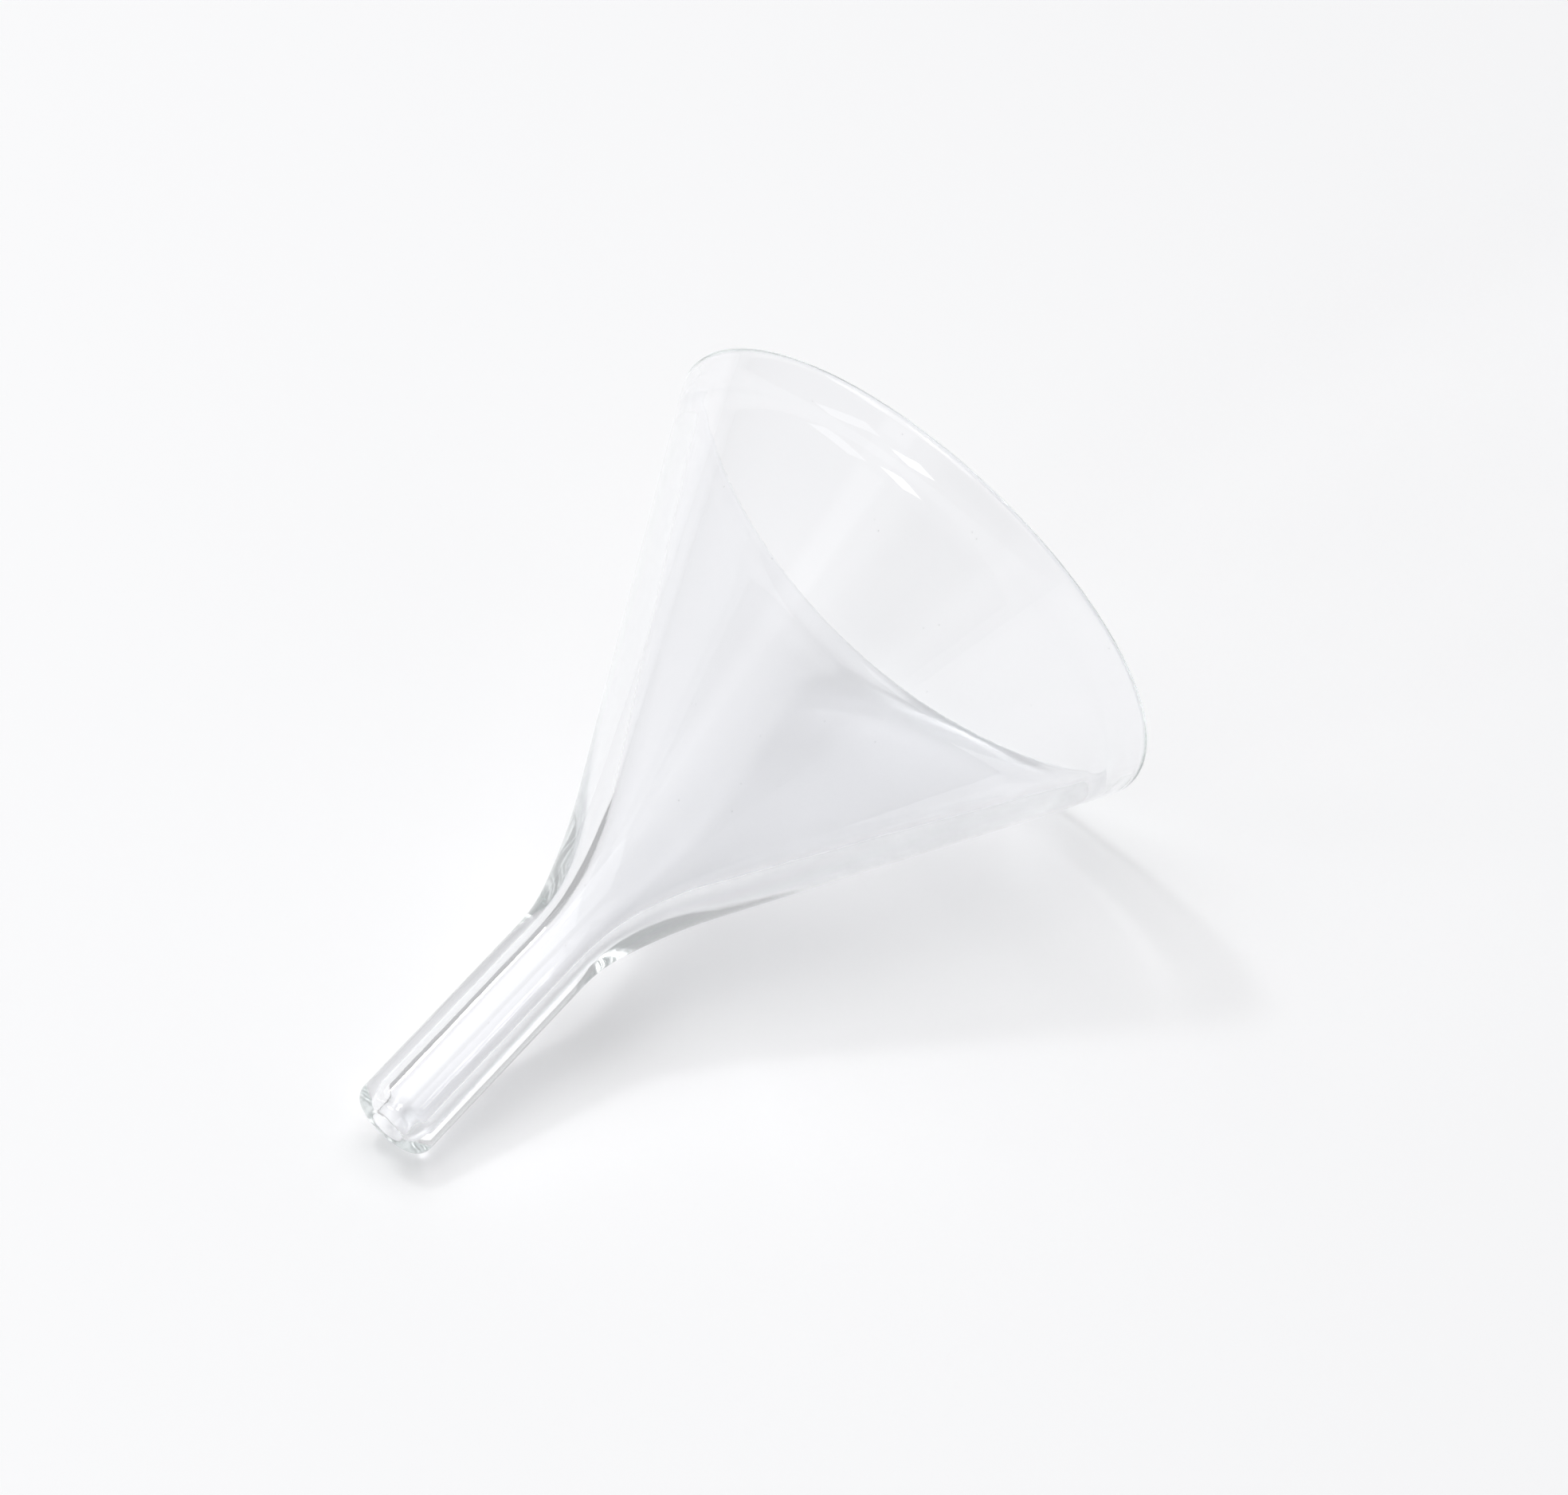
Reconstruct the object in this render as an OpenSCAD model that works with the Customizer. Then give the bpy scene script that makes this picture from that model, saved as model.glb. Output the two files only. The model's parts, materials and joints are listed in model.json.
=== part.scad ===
// Small conical laboratory funnel, blown in one piece of clear glass.
// It lies on its side, as it comes to rest: on the lowest point of the rim and of the stem's tip.
// The funnel's axis lies in the XZ plane and its mouth faces +X. The origin is under the middle of
// its box, on the surface that it lies on. Lengths are in millimetres, angles in degrees.

/* [Cone] */
// Outside diameter across the rim
mouth_d = 55; // [42:0.5:88]
// Half of the opening angle of the cone's outside
cone_half_angle = 27.9; // [22:0.1:33]
// How much wider the half angle is inside, so that the wall thickens towards the neck
wall_taper_angle = 1.5; // [0:0.1:4]

/* [Rim] */
// Wall thickness at the rim, which is polished to a full round
rim_t = 1.4; // [0.8:0.05:1.8]
// Height of the smooth step inside, below which the wall is thicker
rim_step = 0.5; // [0.1:0.05:0.9]
// Radius of the two sweeps that make the step
rim_step_r = 8; // [3:0.5:16]
// Length of the thin wall between the rim's round and the step
rim_band_l = 1.2; // [0.4:0.1:4]

/* [Stem] */
// Outside diameter of the stem
stem_d = 8; // [6.2:0.1:11]
// Diameter of the bore through the stem
bore_d = 4.2; // [3:0.1:5.6]
// Length of the stem, from the tip to where the neck starts to widen
stem_l = 21.6; // [10:0.1:60]

/* [Neck] */
// Radius of the tight sweep with which the outside leaves the stem
neck_r = 14; // [5:0.5:24]
// Angle through which the tight sweep turns
neck_turn_angle = 17.8; // [8:0.1:20]
// Radius of the wide sweep with which the outside passes into the straight cone
flare_r = 58; // [20:0.5:90]
// Radius of the inside sweep from the bore into the cone
throat_r = 28; // [8:0.5:36]

/* [Tip] */
// Diameter of the opening, where fire polishing has drawn the bore in
tip_bore_d = 2.6; // [1.6:0.1:3.6]
// Radius of the tip's outer edge
tip_edge_r = 1.4; // [0.5:0.1:2]
// Radius of the hollow where the opening widens into the bore
tip_hollow_r = 1.5; // [0.6:0.1:4]

/* [Hidden] */
$fn = 180;
// Straight steps along each arc of the section
arc_steps = 16;
// Share of the ring at the tip's end that the lip's rounding takes up; the rest is flat
tip_lip_share = 0.7;
glass_colour = [0.86, 0.93, 0.92, 0.35];

// Radii, from the axis
stem_r = stem_d / 2;
bore_r = bore_d / 2;
tip_bore_r = tip_bore_d / 2;
rim_edge_r = rim_t / 2;
tip_lip_r = tip_lip_share * (stem_r - tip_bore_r - tip_edge_r);
inner_half_angle = cone_half_angle + wall_taper_angle;

// Centres of the section's arcs as [distance from the axis, distance from the tip]
tip_edge_center = [stem_r - tip_edge_r, tip_edge_r];
tip_lip_center = [tip_bore_r + tip_lip_r, tip_lip_r];
// The hollow touches both the lip and the bore's wall
hollow_reach = tip_lip_r + tip_hollow_r;
hollow_inset = hollow_reach - (bore_r - tip_bore_r);
hollow_angle = acos(hollow_inset / hollow_reach);
tip_hollow_center = [bore_r - tip_hollow_r, tip_lip_r + hollow_reach * sin(hollow_angle)];
// The tight and the wide sweep have the same direction where they meet
neck_center = [stem_r + neck_r, stem_l];
flare_center = neck_center + (flare_r - neck_r) * [cos(neck_turn_angle), -sin(neck_turn_angle)];
// Where the straight outside of the cone starts
cone_start = flare_center + flare_r * [-cos(cone_half_angle), sin(cone_half_angle)];
rim_center_r = mouth_d / 2 - rim_edge_r;
rim_center = [
    rim_center_r,
    cone_start.y + (rim_center_r + rim_edge_r / cos(cone_half_angle) - cone_start.x) / tan(cone_half_angle)
];
// Directions along and across the inner wall, towards the rim and into the glass
inner_along = [sin(inner_half_angle), cos(inner_half_angle)];
inner_across = [cos(inner_half_angle), -sin(inner_half_angle)];
// The step's two sweeps turn by the same angle, there and back
rim_step_angle = acos(1 - rim_step / (2 * rim_step_r));
step_turned_angle = inner_half_angle + rim_step_angle;
band_center = rim_center - (rim_edge_r + rim_step_r) * inner_across - rim_band_l * inner_along;
step_center = band_center + 2 * rim_step_r * [cos(step_turned_angle), -sin(step_turned_angle)];
// Where the inner wall's line, carried on, would meet the bore's side
inner_wall_r = rim_center_r - (rim_edge_r + rim_step) / cos(inner_half_angle);
throat_corner_z = rim_center.y - (inner_wall_r - bore_r) / tan(inner_half_angle);
throat_center = [bore_r + throat_r, throat_corner_z - throat_r * tan(inner_half_angle / 2)];

// Lying pose: the surface touches the round of the rim and the round of the tip's edge
rest_span = rim_center - tip_edge_center;
rest_tilt = atan2(rest_span.x, rest_span.y) + asin((rim_edge_r - tip_edge_r) / norm(rest_span));
rest_lift = tip_edge_r + tip_edge_center.x * cos(rest_tilt) - tip_edge_center.y * sin(rest_tilt);
mouth_end_x = rim_center.y * cos(rest_tilt) + rim_center.x * sin(rest_tilt) + rim_edge_r;
tip_end_x = tip_edge_center.y * cos(rest_tilt) - tip_edge_center.x * sin(rest_tilt) - tip_edge_r;

// Points along an arc, from one angle to another
function arc(center, radius, from, to) = [
    for (i = [0 : arc_steps])
        let (angle = from + (to - from) * i / arc_steps)
        center + radius * [cos(angle), sin(angle)]
];

// Section of the wall: up the outside from the tip, round the rim, and back down the inside
function wall_section() = concat(
    arc(tip_edge_center, tip_edge_r, -90, 0),
    arc(neck_center, neck_r, 180, 180 - neck_turn_angle),
    arc(flare_center, flare_r, 180 - neck_turn_angle, 180 - cone_half_angle),
    arc(rim_center, rim_edge_r, -cone_half_angle, 180 - inner_half_angle),
    arc(band_center, rim_step_r, -inner_half_angle, -step_turned_angle),
    arc(step_center, rim_step_r, 180 - step_turned_angle, 180 - inner_half_angle),
    arc(throat_center, throat_r, 180 - inner_half_angle, 180),
    arc(tip_hollow_center, tip_hollow_r, 0, -hollow_angle),
    arc(tip_lip_center, tip_lip_r, 180 - hollow_angle, 270)
);

module funnel() {
    color(glass_colour)
        translate([-(mouth_end_x + tip_end_x) / 2, 0, rest_lift])
            rotate([0, 90 - rest_tilt, 0])
                rotate_extrude()
                    polygon(wall_section());
}

funnel();
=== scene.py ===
"""Looks of a small conical glass funnel that lies on its side on a white table."""

import json
import logging
import math
from dataclasses import dataclass, field
from enum import Enum
from typing import Any

import bmesh
import bpy
from mathutils import Matrix, Vector

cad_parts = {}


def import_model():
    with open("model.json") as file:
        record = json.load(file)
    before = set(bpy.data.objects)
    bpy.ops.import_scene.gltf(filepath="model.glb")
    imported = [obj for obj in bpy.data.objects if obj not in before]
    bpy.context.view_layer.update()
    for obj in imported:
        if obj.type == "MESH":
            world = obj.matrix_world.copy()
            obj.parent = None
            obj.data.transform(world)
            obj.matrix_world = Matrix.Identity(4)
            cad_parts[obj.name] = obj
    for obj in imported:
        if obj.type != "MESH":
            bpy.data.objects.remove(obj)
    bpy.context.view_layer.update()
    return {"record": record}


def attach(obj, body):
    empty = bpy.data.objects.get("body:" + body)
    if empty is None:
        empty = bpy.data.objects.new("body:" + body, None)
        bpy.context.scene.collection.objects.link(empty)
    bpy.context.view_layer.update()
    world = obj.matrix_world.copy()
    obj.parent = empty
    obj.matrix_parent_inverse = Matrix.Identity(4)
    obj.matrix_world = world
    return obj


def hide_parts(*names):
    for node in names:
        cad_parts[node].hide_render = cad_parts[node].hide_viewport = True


LOG = logging.getLogger("funnel")
MM = 0.001
FULL_TURN = 2 * math.pi
IMAGE_SIZE = (1968, 1876)
GLASS_BOUNCES = 64
MIX_FIRST = 6
MIX_SECOND = 7
MIX_RESULT = 2
Colour = tuple[float, float, float, float]


def vector_2d(x: float, z: float) -> Vector:
    """Returns a point of the wall's section, with X as its distance from the axis."""
    return Vector((x, 0.0, z))


@dataclass(frozen=True)
class FunnelSizes:
    """The funnel's own sizes in metres and radians, as the part's source has them."""

    mouth_d: float = 55 * MM
    cone_half_angle: float = math.radians(27.9)
    wall_taper_angle: float = math.radians(1.5)
    rim_t: float = 1.4 * MM
    rim_step: float = 0.5 * MM
    rim_step_r: float = 8 * MM
    rim_band_l: float = 1.2 * MM
    stem_d: float = 8 * MM
    bore_d: float = 4.2 * MM
    stem_l: float = 21.6 * MM
    neck_r: float = 14 * MM
    neck_turn_angle: float = math.radians(17.8)
    flare_r: float = 58 * MM
    throat_r: float = 28 * MM
    tip_bore_d: float = 2.6 * MM
    tip_edge_r: float = 1.4 * MM
    tip_hollow_r: float = 1.5 * MM
    tip_lip_share: float = 0.7

    @property
    def stem_r(self) -> float:
        """Outside radius of the stem."""
        return self.stem_d / 2

    @property
    def bore_r(self) -> float:
        """Radius of the bore."""
        return self.bore_d / 2

    @property
    def rim_edge_r(self) -> float:
        """Radius of the rim's round, which takes up the whole wall."""
        return self.rim_t / 2

    @property
    def tip_lip_r(self) -> float:
        """Radius of the lip round the tip's opening."""
        return self.tip_lip_share * (self.stem_r - self.tip_bore_d / 2 - self.tip_edge_r)

    @property
    def hollow_angle(self) -> float:
        """Angle through which the hollow above the tip's opening turns."""
        reach = self.tip_lip_r + self.tip_hollow_r
        return math.acos(1 - (self.bore_r - self.tip_bore_d / 2) / reach)

    @property
    def tip_edge_center(self) -> Vector:
        """Centre of the tip's outer round."""
        return vector_2d(self.stem_r - self.tip_edge_r, self.tip_edge_r)

    @property
    def tip_lip_center(self) -> Vector:
        """Centre of the lip's round."""
        return vector_2d(self.tip_bore_d / 2 + self.tip_lip_r, self.tip_lip_r)

    @property
    def tip_hollow_center(self) -> Vector:
        """Centre of the hollow where the opening widens into the bore."""
        rise = (self.tip_lip_r + self.tip_hollow_r) * math.sin(self.hollow_angle)
        return vector_2d(self.bore_r - self.tip_hollow_r, self.tip_lip_r + rise)

    @property
    def inner_half_angle(self) -> float:
        """Half of the opening angle of the cone's inside."""
        return self.cone_half_angle + self.wall_taper_angle

    @property
    def neck_center(self) -> Vector:
        """Centre of the tight outside sweep."""
        return vector_2d(self.stem_r + self.neck_r, self.stem_l)

    @property
    def flare_center(self) -> Vector:
        """Centre of the wide outside sweep, which goes on in the tight one's direction."""
        angle = self.neck_turn_angle
        return self.neck_center + vector_2d(math.cos(angle), -math.sin(angle)) * (self.flare_r - self.neck_r)

    @property
    def cone_start(self) -> Vector:
        """Where the straight outside of the cone starts."""
        angle = self.cone_half_angle
        return self.flare_center + vector_2d(-math.cos(angle), math.sin(angle)) * self.flare_r

    @property
    def rim_center(self) -> Vector:
        """Centre of the rim's round."""
        radius = self.mouth_d / 2 - self.rim_edge_r
        run = radius + self.rim_edge_r / math.cos(self.cone_half_angle) - self.cone_start.x
        return vector_2d(radius, self.cone_start.z + run / math.tan(self.cone_half_angle))

    @property
    def inner_along(self) -> Vector:
        """Direction along the inner wall, towards the rim."""
        return vector_2d(math.sin(self.inner_half_angle), math.cos(self.inner_half_angle))

    @property
    def inner_across(self) -> Vector:
        """Direction across the inner wall, into the glass."""
        return vector_2d(math.cos(self.inner_half_angle), -math.sin(self.inner_half_angle))

    @property
    def rim_step_angle(self) -> float:
        """Angle through which each of the step's two sweeps turns."""
        return math.acos(1 - self.rim_step / (2 * self.rim_step_r))

    @property
    def band_end(self) -> Vector:
        """Where the thin wall below the rim's round passes into the step."""
        return self.rim_center - self.inner_across * self.rim_edge_r - self.inner_along * self.rim_band_l

    @property
    def band_center(self) -> Vector:
        """Centre of the step's sweep on the rim's side."""
        return self.band_end - self.inner_across * self.rim_step_r

    @property
    def step_center(self) -> Vector:
        """Centre of the step's sweep on the cone's side."""
        angle = self.inner_half_angle + self.rim_step_angle
        return self.band_center + vector_2d(math.cos(angle), -math.sin(angle)) * (2 * self.rim_step_r)

    @property
    def throat_center(self) -> Vector:
        """Centre of the inside sweep."""
        angle = self.inner_half_angle
        wall_r = self.rim_center.x - (self.rim_edge_r + self.rim_step) / math.cos(angle)
        corner_z = self.rim_center.z - (wall_r - self.bore_r) / math.tan(angle)
        return vector_2d(self.bore_r + self.throat_r, corner_z - self.throat_r * math.tan(angle / 2))

    @property
    def length(self) -> float:
        """Overall length from the tip to the rim."""
        return self.rim_center.z + self.rim_edge_r


class SectionPen:
    """Draws the wall's section as a chain of edges, by extruding and spinning its last vertex."""

    TURN_AXIS = (0.0, -1.0, 0.0)

    def __init__(self, start: Vector) -> None:
        """Puts down the pen.

        Args:
            start: The chain's first point.
        """
        self.mesh = bmesh.new()
        self.last = self.mesh.verts.new(start)

    def line_to(self, end: Vector, guard: float) -> None:
        """Extrudes the chain straight to a point.

        Args:
            end: The line's last point.
            guard: Distance from each end at which a vertex keeps the shading of the line straight.
        """
        start = self.last.co.copy()
        step = (end - start).normalized() * guard
        for point in (start + step, end - step, end):
            moved = bmesh.ops.extrude_vert_indiv(self.mesh, verts=[self.last])["verts"][0]
            moved.co = point
            self.last = moved

    def arc(self, center: Vector, angle: float, steps: int) -> None:
        """Spins the chain's last vertex about a centre.

        Args:
            center: The arc's centre.
            angle: The turn from the radius towards the axis's direction, in radians.
            steps: How many edges the arc has.
        """
        turned = bmesh.ops.spin(
            self.mesh,
            geom=[self.last],
            cent=center,
            axis=self.TURN_AXIS,
            angle=angle,
            steps=steps,
        )
        self.last = next(v for v in turned["geom_last"] if isinstance(v, bmesh.types.BMVert))

    def revolve(self, segments: int, merge_distance: float) -> bmesh.types.BMesh:
        """Closes the chain and turns it once round the Z axis.

        Args:
            segments: How many steps the full turn has.
            merge_distance: Distance within which the chain's two ends are one point.

        Returns:
            The closed wall, with its faces outwards.
        """
        bmesh.ops.remove_doubles(self.mesh, verts=self.mesh.verts[:], dist=merge_distance)
        bmesh.ops.spin(
            self.mesh,
            geom=self.mesh.verts[:] + self.mesh.edges[:],
            cent=(0.0, 0.0, 0.0),
            axis=(0.0, 0.0, 1.0),
            angle=FULL_TURN,
            steps=segments,
            use_merge=True,
        )
        bmesh.ops.recalc_face_normals(self.mesh, faces=self.mesh.faces[:])
        return self.mesh


class NodeDesk:
    """Puts down and joins the nodes of one tree."""

    def __init__(self, owner: bpy.types.Material | bpy.types.World) -> None:
        """Starts with an empty tree.

        Args:
            owner: The material or the world that has the nodes.
        """
        owner.use_nodes = True
        self.tree = owner.node_tree
        self.tree.nodes.clear()

    def add(self, kind: str, settings: dict[str, Any], sockets: dict[str | int, Any]) -> bpy.types.Node:
        """Puts down a node.

        Args:
            kind: The node's type.
            settings: The node's own settings.
            sockets: Its inputs by name or number, each a value or an output to join to it.

        Returns:
            The node.
        """
        node = self.tree.nodes.new(kind)
        for name, value in settings.items():
            setattr(node, name, value)
        for key, value in sockets.items():
            if isinstance(value, bpy.types.NodeSocket):
                self.tree.links.new(value, node.inputs[key])
            else:
                node.inputs[key].default_value = value
        return node


@dataclass(frozen=True)
class ClearGlass:
    """Clear soda glass: a faint body colour, fine lines from drawing the tube, specks and a few smudges."""

    name: str = "clear_glass"
    ior: float = 1.48
    clear_tint: Colour = (0.985, 0.986, 0.995, 1.0)
    streak_tint: Colour = (0.971, 0.973, 0.984, 1.0)
    speck_tint: Colour = (0.7, 0.7, 0.71, 1.0)
    body_colour: Colour = (0.66, 0.84, 0.79, 1.0)
    body_density: float = 3.0
    line_scale: float = 12.0
    line_detail: float = 4.0
    line_stretch: float = 9.0
    line_height: float = 0.004 * MM
    speck_scale: float = 420.0
    speck_reach: float = 0.03
    smudge_scale: float = 55.0
    smudge_from: float = 0.52
    smudge_to: float = 0.8
    smudge_roughness: float = 0.012

    def drawn_lines(self, desk: NodeDesk, place: bpy.types.NodeSocket) -> bpy.types.NodeSocket:
        """Makes lines that run along the tube, the same all the way from the bore to the outside.

        Args:
            desk: The material's nodes.
            place: The place in the funnel's own frame, with Z along its axis.

        Returns:
            The lines' height, from 0 to 1.
        """
        flat = desk.add("ShaderNodeVectorMath", {"operation": "MULTIPLY"}, {0: place, 1: (1.0, 1.0, 0.0)})
        round_axis = desk.add(
            "ShaderNodeVectorMath", {"operation": "NORMALIZE"}, {0: flat.outputs["Vector"]}
        )
        along = desk.add(
            "ShaderNodeVectorMath", {"operation": "MULTIPLY"}, {0: place, 1: (0.0, 0.0, self.line_stretch)}
        )
        both = desk.add(
            "ShaderNodeVectorMath",
            {"operation": "ADD"},
            {0: round_axis.outputs["Vector"], 1: along.outputs["Vector"]},
        )
        lines = desk.add(
            "ShaderNodeTexNoise",
            {},
            {"Vector": both.outputs["Vector"], "Scale": self.line_scale, "Detail": self.line_detail},
        )
        return lines.outputs["Fac"]

    def tint(
        self, desk: NodeDesk, place: bpy.types.NodeSocket, lines: bpy.types.NodeSocket
    ) -> bpy.types.NodeSocket:
        """Colours the glass by its lines and puts specks on it.

        Args:
            desk: The material's nodes.
            place: The place in the funnel's own frame.
            lines: The drawn lines' height.

        Returns:
            The colour.
        """
        streaks = desk.add(
            "ShaderNodeMix",
            {"data_type": "RGBA"},
            {"Factor": lines, MIX_FIRST: self.clear_tint, MIX_SECOND: self.streak_tint},
        )
        cells = desk.add("ShaderNodeTexVoronoi", {}, {"Vector": place, "Scale": self.speck_scale})
        specks = desk.add(
            "ShaderNodeMath", {"operation": "LESS_THAN"}, {0: cells.outputs["Distance"], 1: self.speck_reach}
        )
        mixed = desk.add(
            "ShaderNodeMix",
            {"data_type": "RGBA"},
            {
                "Factor": specks.outputs["Value"],
                MIX_FIRST: streaks.outputs[MIX_RESULT],
                MIX_SECOND: self.speck_tint,
            },
        )
        return mixed.outputs[MIX_RESULT]

    def smudges(self, desk: NodeDesk, place: bpy.types.NodeSocket) -> bpy.types.NodeSocket:
        """Makes a few faint smudges.

        Args:
            desk: The material's nodes.
            place: The place in the funnel's own frame.

        Returns:
            The roughness.
        """
        patches = desk.add("ShaderNodeTexNoise", {}, {"Vector": place, "Scale": self.smudge_scale})
        faint = desk.add(
            "ShaderNodeMapRange",
            {"interpolation_type": "SMOOTHSTEP"},
            {
                "Value": patches.outputs["Fac"],
                "From Min": self.smudge_from,
                "From Max": self.smudge_to,
                "To Max": self.smudge_roughness,
            },
        )
        return faint.outputs["Result"]

    def make(self, to_axis: Matrix) -> bpy.types.Material:
        """Makes the glass.

        Args:
            to_axis: Turns a point of the part into the funnel's own frame, with Z along its axis.

        Returns:
            The node material.
        """
        material = bpy.data.materials.new(self.name)
        desk = NodeDesk(material)
        own = desk.add("ShaderNodeTexCoord", {}, {})
        turned = desk.add(
            "ShaderNodeMapping",
            {"vector_type": "POINT"},
            {
                "Vector": own.outputs["Object"],
                "Location": to_axis.translation,
                "Rotation": to_axis.to_euler(),
            },
        )
        place = turned.outputs["Vector"]
        lines = self.drawn_lines(desk, place)
        waves = desk.add("ShaderNodeBump", {}, {"Height": lines, "Distance": self.line_height})
        surface = desk.add(
            "ShaderNodeBsdfPrincipled",
            {},
            {
                "Base Color": self.tint(desk, place, lines),
                "Roughness": self.smudges(desk, place),
                "IOR": self.ior,
                "Transmission Weight": 1.0,
                "Normal": waves.outputs["Normal"],
            },
        )
        body = desk.add(
            "ShaderNodeVolumeAbsorption", {}, {"Color": self.body_colour, "Density": self.body_density}
        )
        desk.add(
            "ShaderNodeOutputMaterial",
            {},
            {"Surface": surface.outputs["BSDF"], "Volume": body.outputs["Volume"]},
        )
        return material


@dataclass
class Funnel:
    """The funnel, one wall of blown glass."""

    sizes: FunnelSizes
    place: Matrix
    finish: ClearGlass = field(default_factory=ClearGlass)
    segments: int = 512
    arc_steps: int = 16
    guard: float = 0.15 * MM
    merge_distance: float = 0.001 * MM

    def wall(self) -> bmesh.types.BMesh:
        """Draws the wall's section and turns it round the axis.

        Returns:
            The wall in the funnel's own frame, with the tip at the origin and Z towards the mouth.
        """
        s = self.sizes
        angle = s.cone_half_angle
        inner = s.inner_half_angle
        outward = vector_2d(math.cos(angle), -math.sin(angle))
        pen = SectionPen(vector_2d(s.tip_edge_center.x, 0.0))
        pen.arc(s.tip_edge_center, math.pi / 2, self.arc_steps)
        pen.line_to(vector_2d(s.stem_r, s.stem_l), self.guard)
        pen.arc(s.neck_center, -s.neck_turn_angle, self.arc_steps)
        pen.arc(s.flare_center, s.neck_turn_angle - angle, self.arc_steps)
        pen.line_to(s.rim_center + outward * s.rim_edge_r, self.guard)
        pen.arc(s.rim_center, math.pi + angle - inner, self.arc_steps)
        pen.line_to(s.band_end, self.guard)
        pen.arc(s.band_center, -s.rim_step_angle, self.arc_steps)
        pen.arc(s.step_center, s.rim_step_angle, self.arc_steps)
        pen.line_to(s.throat_center - s.inner_across * s.throat_r, self.guard)
        pen.arc(s.throat_center, inner, self.arc_steps)
        pen.line_to(vector_2d(s.bore_r, s.tip_hollow_center.z), self.guard)
        pen.arc(s.tip_hollow_center, -s.hollow_angle, self.arc_steps)
        pen.arc(s.tip_lip_center, math.pi / 2 + s.hollow_angle, self.arc_steps)
        pen.line_to(vector_2d(s.tip_edge_center.x, 0.0), self.guard)
        return pen.revolve(self.segments, self.merge_distance)

    def build(self) -> bpy.types.Object:
        """Makes the funnel's object, dresses it and lets it stand for the part's node.

        Returns:
            The finished piece.
        """
        wall = self.wall()
        bmesh.ops.transform(wall, matrix=self.place, verts=wall.verts[:])
        for face in wall.faces:
            face.smooth = True
        mesh = bpy.data.meshes.new("glass_funnel")
        wall.to_mesh(mesh)
        wall.free()
        mesh.materials.append(self.finish.make(self.place.inverted()))
        piece = bpy.data.objects.new("glass_funnel", mesh)
        bpy.context.scene.collection.objects.link(piece)
        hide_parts("funnel")
        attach(piece, "root")
        return piece


@dataclass(frozen=True)
class PhotoCamera:
    """The camera, upright, placed by where the photograph shows the funnel's axis."""

    middle_px: tuple[float, float] = (824.3, 1058.9)
    axis_angle: float = math.radians(46.57)
    axis_tilt: float = math.radians(-19.42)
    focal_px: float = 7744.0
    distance: float = 550 * MM
    sensor: float = 36.0
    near_share: float = 0.01

    def turn(self, axis: Vector) -> Matrix:
        """Works out how the camera is turned.

        Args:
            axis: The funnel's axis in the scene, towards the mouth.

        Returns:
            The camera's right, up and backward directions, as the matrix's columns.
        """
        flat = math.cos(self.axis_tilt)
        angle = self.axis_angle
        seen = Vector((flat * math.cos(angle), flat * math.sin(angle), math.sin(self.axis_tilt)))
        elevation = math.atan2(seen.z, seen.y) + math.acos(axis.z / math.hypot(seen.y, seen.z))
        up = Vector((0.0, 0.0, 1.0))
        seen_up = Vector((0.0, math.cos(elevation), math.sin(elevation)))
        side = up.cross(axis).normalized()
        seen_side = seen_up.cross(seen).normalized()
        scene_frame = Matrix((side.cross(up), side, up)).transposed()
        seen_frame = Matrix((seen_side.cross(seen_up), seen_side, seen_up))
        return scene_frame @ seen_frame

    def build(self, middle: Vector, axis: Vector) -> bpy.types.Object:
        """Places the camera so that the funnel's axis falls where the photograph has it.

        Args:
            middle: The middle of the funnel's axis.
            axis: The axis's direction, towards the mouth.

        Returns:
            The scene's camera.
        """
        lens = bpy.data.cameras.new("camera")
        lens.sensor_fit = "HORIZONTAL"
        lens.sensor_width = self.sensor
        lens.lens = self.focal_px / IMAGE_SIZE[0] * self.sensor
        lens.clip_start = self.distance * self.near_share
        camera = bpy.data.objects.new("camera", lens)
        turn = self.turn(axis)
        offset = Vector((
            (self.middle_px[0] - IMAGE_SIZE[0] / 2) / self.focal_px,
            (IMAGE_SIZE[1] / 2 - self.middle_px[1]) / self.focal_px,
            -1.0,
        )) * self.distance
        place = turn.to_4x4()
        place.translation = middle - turn @ offset
        camera.matrix_world = place
        bpy.context.scene.collection.objects.link(camera)
        bpy.context.scene.camera = camera
        return camera


@dataclass(frozen=True)
class LampPlan:
    """Where a lamp hangs, how large it is and how strong.

    The angles are in degrees, with the azimuth from the mouth's side. The lengths are in metres and the
    power in watts.
    """

    azimuth: float
    elevation: float
    distance: float
    width: float
    height: float
    power: float
    roll: float = 0.0

    @property
    def towards(self) -> Vector:
        """Direction from the funnel to the lamp."""
        turn = math.radians(self.azimuth)
        rise = math.radians(self.elevation)
        return Vector((math.cos(rise) * math.cos(turn), math.cos(rise) * math.sin(turn), math.sin(rise)))

    @property
    def place(self) -> Matrix:
        """Where the lamp hangs, with its face towards the funnel."""
        facing = self.towards.to_track_quat("Z", "Y").to_matrix().to_4x4()
        place = facing @ Matrix.Rotation(math.radians(self.roll), 4, "Z")
        place.translation = self.towards * self.distance
        return place


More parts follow.
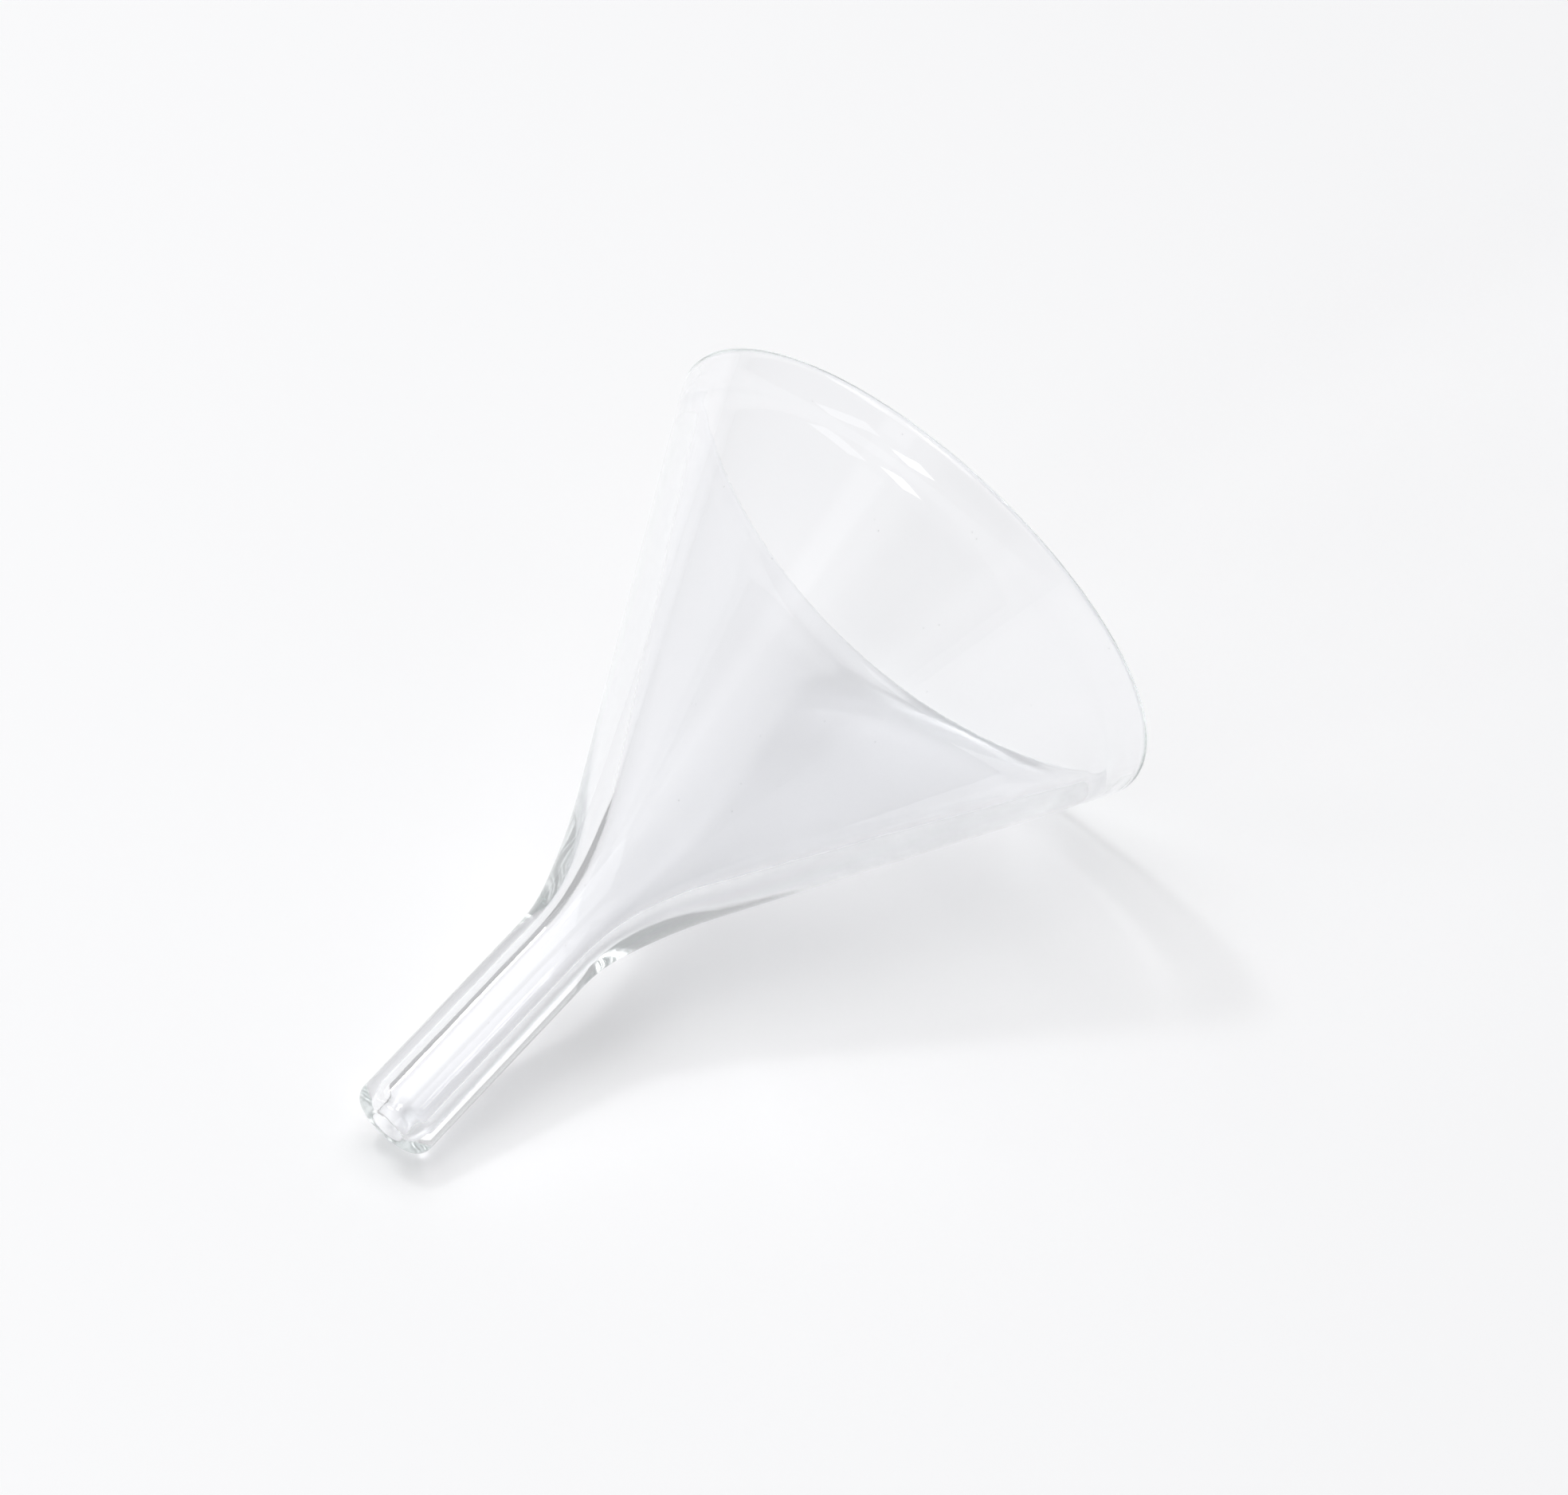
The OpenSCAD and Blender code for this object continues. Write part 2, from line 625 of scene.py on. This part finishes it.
class Lamp(Enum):
    """The studio's lamps: one for the shadow, one overhead, a faint card and two strips."""

    KEY = LampPlan(azimuth=94.0, elevation=65.7, distance=0.9, width=0.1, height=0.1, power=0.75)
    SOFT = LampPlan(azimuth=110.0, elevation=82.0, distance=1.6, width=1.9, height=1.9, power=15.5)
    CARD = LampPlan(azimuth=169.0, elevation=39.5, distance=0.9, width=0.2, height=0.2, power=0.05)
    STEM_STRIP = LampPlan(
        azimuth=176.0, elevation=16.6, distance=0.9, width=0.22, height=0.15, power=0.9, roll=32.7
    )
    SIDE_STRIP = LampPlan(
        azimuth=149.5, elevation=17.0, distance=0.9, width=0.42, height=0.16, power=0.36, roll=51.0
    )


@dataclass(frozen=True)
class Studio:
    """A white table under soft light, with the camera's own dark shape that the glass's edges mirror."""

    camera_way: Vector
    table_size: float = 8.0
    table_colour: Colour = (0.96, 0.96, 0.965, 1.0)
    sky_colour: Colour = (0.49, 0.49, 0.496, 1.0)
    dark_colour: Colour = (0.02, 0.025, 0.025, 1.0)
    dark_inner: float = math.radians(21.6)
    dark_outer: float = math.radians(29.5)

    def build(self) -> None:
        """Makes the table, the sky and the lamps."""
        self.table()
        self.sky()
        for lamp in Lamp:
            self.lamp(lamp)

    def table(self) -> bpy.types.Object:
        """Makes the table, which isn't part of the object.

        Returns:
            The table.
        """
        shape = bmesh.new()
        bmesh.ops.create_grid(shape, x_segments=1, y_segments=1, size=self.table_size / 2)
        mesh = bpy.data.meshes.new("table")
        shape.to_mesh(mesh)
        shape.free()
        finish = bpy.data.materials.new("table")
        finish.use_nodes = True
        paint = finish.node_tree.nodes["Principled BSDF"]
        paint.inputs["Base Color"].default_value = self.table_colour
        paint.inputs["Roughness"].default_value = 1.0
        paint.inputs["Specular IOR Level"].default_value = 0.0
        mesh.materials.append(finish)
        table = bpy.data.objects.new("table", mesh)
        bpy.context.scene.collection.objects.link(table)
        return table

    def sky(self) -> None:
        """Makes the light from all round, but for the dark shape round the camera."""
        world = bpy.data.worlds.new("studio")
        desk = NodeDesk(world)
        way = desk.add("ShaderNodeTexCoord", {}, {})
        nearness = desk.add(
            "ShaderNodeVectorMath",
            {"operation": "DOT_PRODUCT"},
            {0: way.outputs["Generated"], 1: self.camera_way},
        )
        share = desk.add(
            "ShaderNodeMapRange",
            {"interpolation_type": "SMOOTHSTEP"},
            {
                "Value": nearness.outputs["Value"],
                "From Min": math.cos(self.dark_outer),
                "From Max": math.cos(self.dark_inner),
            },
        )
        mixed = desk.add(
            "ShaderNodeMix",
            {"data_type": "RGBA"},
            {"Factor": share.outputs["Result"], MIX_FIRST: self.sky_colour, MIX_SECOND: self.dark_colour},
        )
        light = desk.add("ShaderNodeBackground", {}, {"Color": mixed.outputs[MIX_RESULT]})
        desk.add("ShaderNodeOutputWorld", {}, {"Surface": light.outputs["Background"]})
        bpy.context.scene.world = world

    def lamp(self, lamp: Lamp) -> bpy.types.Object:
        """Hangs one lamp, which faces the funnel.

        Args:
            lamp: Which lamp.

        Returns:
            The lamp.
        """
        plan = lamp.value
        light = bpy.data.lights.new(lamp.name.lower(), "AREA")
        light.shape = "RECTANGLE"
        light.size = plan.width
        light.size_y = plan.height
        light.energy = plan.power
        hung = bpy.data.objects.new(lamp.name.lower(), light)
        hung.matrix_world = plan.place
        hung.visible_camera = False
        bpy.context.scene.collection.objects.link(hung)
        return hung


def funnel_place(record: dict[str, Any], sizes: FunnelSizes) -> Matrix:
    """Works out where the funnel lies from the part's mounts.

    Args:
        record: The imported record.
        sizes: The funnel's sizes.

    Returns:
        The matrix from the funnel's own frame, with the tip at the origin and Z towards the mouth.
    """
    mounts = {mount["name"]: mount for mount in record["mounts"]}
    axis = Vector(mounts["stem_bore"]["axis"]).normalized()
    stem_middle = (sizes.tip_edge_r + sizes.stem_l) / 2
    tip = Vector(mounts["stem"]["pos_m"]) - axis * stem_middle
    side = Vector((0.0, 1.0, 0.0))
    place = Matrix((side.cross(axis), side, axis)).transposed().to_4x4()
    place.translation = tip
    return place


def main() -> None:
    """Builds the funnel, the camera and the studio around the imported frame."""
    logging.basicConfig(level=logging.INFO)
    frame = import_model()
    scene = bpy.context.scene
    scene.view_settings.view_transform = "Standard"
    scene.cycles.max_bounces = GLASS_BOUNCES
    scene.cycles.glossy_bounces = GLASS_BOUNCES
    scene.cycles.transmission_bounces = GLASS_BOUNCES
    scene.cycles.blur_glossy = 0.0
    sizes = FunnelSizes()
    place = funnel_place(frame["record"], sizes)
    axis = place.col[2].to_3d()
    funnel = Funnel(sizes, place).build()
    LOG.info("%s: %d faces", funnel.name, len(funnel.data.polygons))
    camera = PhotoCamera().build(place.translation + axis * sizes.length / 2, axis)
    LOG.info("%s at %s", camera.name, tuple(round(v, 3) for v in camera.location))
    Studio(camera.location.normalized()).build()


if __name__ == "__main__":
    main()
